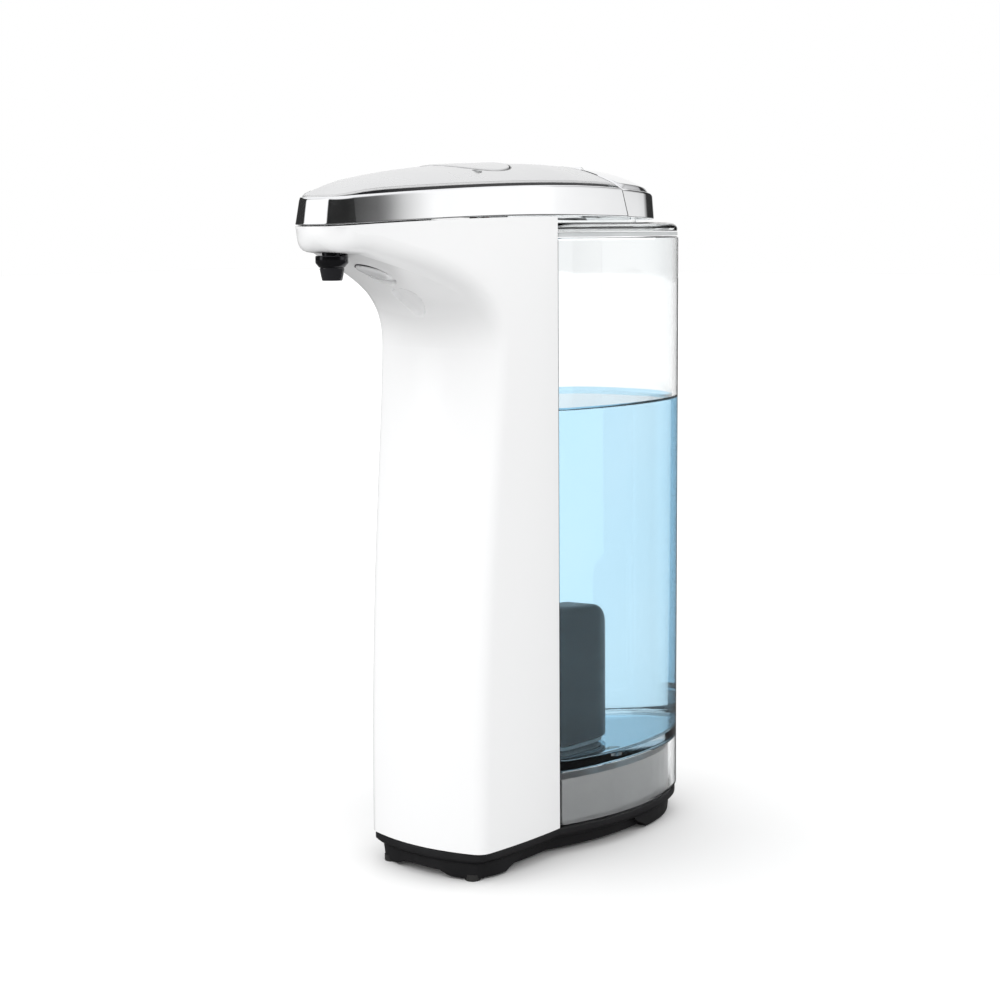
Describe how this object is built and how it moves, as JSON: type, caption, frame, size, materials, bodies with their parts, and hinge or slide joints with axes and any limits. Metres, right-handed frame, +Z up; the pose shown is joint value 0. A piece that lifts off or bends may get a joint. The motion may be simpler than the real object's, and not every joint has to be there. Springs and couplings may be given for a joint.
{
  "type": "countertop automatic soap dispenser",
  "caption": "Free-standing touch-free soap dispenser: white column and arm, chrome lid with refill flap, clear rear tank with a gear pump, black footed base.",
  "frame": {"origin": "centre of the whole object's plan, on the surface that the foot pads stand on", "axes": "+Z up; the spout points towards -Y and the tank is towards +Y; +X is the side to the right when looking along +Y"},
  "size_m": [0.061, 0.143, 0.1964],
  "materials": {
    "white_abs": "glossy white moulded ABS",
    "black_abs": "fine-textured black ABS",
    "rubber": "matt black rubber",
    "chrome": "bright chrome plating on ABS",
    "satin_silver": "satin silver paint",
    "clear_plastic": "clear moulded plastic",
    "soap": "pale blue liquid soap",
    "grey_plastic": "metallic grey ABS",
    "steel": "bright zinc-plated steel",
    "pom": "natural acetal",
    "circuit_board": "green solder mask",
    "silicone": "translucent silicone",
    "dark_chrome": "black chrome plating",
    "black_gloss": "glossy black plastic",
    "battery_sleeve": "printed film sleeve",
    "wire": "red PVC insulation"
  },
  "bodies": {
    "body": {"base_chassis": "black_abs", "foot_pad_1": "rubber", "foot_pad_2": "rubber", "foot_pad_3": "rubber", "foot_pad_4": "rubber", "base_screw_1": "steel", "base_screw_2": "steel", "base_screw_3": "steel", "base_screw_4": "steel", "door_hinge_pin": "steel", "battery_1": "battery_sleeve", "battery_2": "battery_sleeve", "battery_3": "battery_sleeve", "battery_4": "battery_sleeve", "battery_contact": "steel", "battery_holder": "grey_plastic", "body_shell": "white_abs", "rear_wall": "white_abs", "top_cover": "chrome", "top_plate": "satin_silver", "indicator_lens": "clear_plastic", "lid_hinge_pin": "steel", "button_spring": "steel", "control_board": "circuit_board", "power_switch": "pom", "control_chip": "black_abs", "nozzle_collar": "dark_chrome", "nozzle_tip": "black_gloss", "sensor_window": "clear_plastic", "sensor_board": "circuit_board", "sensor_emitter": "black_gloss", "sensor_receiver": "black_gloss", "tank": "clear_plastic", "tank_plinth": "grey_plastic", "tank_screw_1": "steel", "tank_screw_2": "steel", "tank_gasket": "silicone", "tank_cover": "clear_plastic", "liquid_soap": "soap", "pump_housing": "black_abs", "pump_collar": "grey_plastic", "housing_seal": "silicone", "pump_base": "pom", "gear_case": "pom", "idler_pin": "steel", "motor": "steel", "outlet_tube": "silicone", "motor_lead": "wire", "battery_lead": "wire"},
    "refill_flap": {"refill_lid": "chrome", "refill_seal": "silicone"},
    "button": {"power_button": "satin_silver"},
    "door": {"battery_door": "black_abs", "contact_spring_1": "steel", "contact_spring_2": "steel"},
    "pump_drive": {"drive_gear": "pom", "motor_shaft": "steel"},
    "pump_idler": {"idler_gear": "pom"}
  },
  "joints": [
    {"name": "refill_lid_hinge", "type": "hinge", "parent": "body", "child": "refill_flap", "pos_m": [0, 0.0335, 0.194], "axis": [1, 0, 0], "range_deg": [0, 75]},
    {"name": "power_button_press", "type": "slide", "parent": "body", "child": "button", "axis": [0, 0, -1], "range_m": [0, 0.0008], "stiffness_N_per_m": 900},
    {"name": "battery_door_hinge", "type": "hinge", "parent": "body", "child": "door", "pos_m": [0, -0.0037, 0.0029], "axis": [1, 0, 0], "range_deg": [0, 90]},
    {"name": "pump_drive_spin", "type": "hinge", "parent": "body", "child": "pump_drive", "pos_m": [0, 0.0175, 0.035], "axis": [0, 0, 1], "continuous": true},
    {"name": "pump_idler_spin", "type": "hinge", "parent": "body", "child": "pump_idler", "pos_m": [0, 0.0265, 0.035], "axis": [0, 0, 1], "continuous": true}
  ],
  "couplings": [
    {"joint": "pump_idler_spin", "follows": "pump_drive_spin", "ratio": -1}
  ]
}
